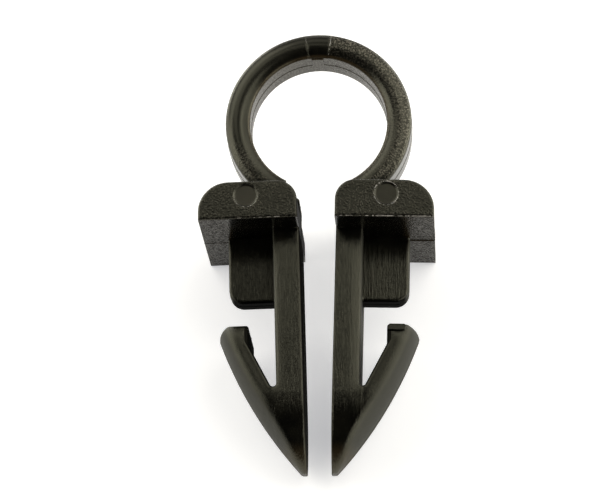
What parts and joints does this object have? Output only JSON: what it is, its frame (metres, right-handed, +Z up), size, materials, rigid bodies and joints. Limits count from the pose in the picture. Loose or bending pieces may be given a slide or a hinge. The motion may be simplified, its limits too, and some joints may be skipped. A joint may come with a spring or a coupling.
{
  "type": "wire routing clip",
  "caption": "Moulded nylon clip with an open ring for a wire bundle, feet that sit on a panel and barbed legs that snap into its hole.",
  "frame": {"origin": "middle of the clip's outline on the table, under it, as it lies on its back", "axes": "+X across the clip, +Y towards the ring, -Y towards the barbs' tips, +Z up, out of the clip's front face"},
  "size_m": [0.02, 0.0388, 0.0145],
  "materials": {
    "nylon": "black moulded nylon, satin, with a fine spark-eroded grain on the feet"
  },
  "bodies": {
    "root": {"routing_clip": "nylon"}
  },
  "joints": []
}
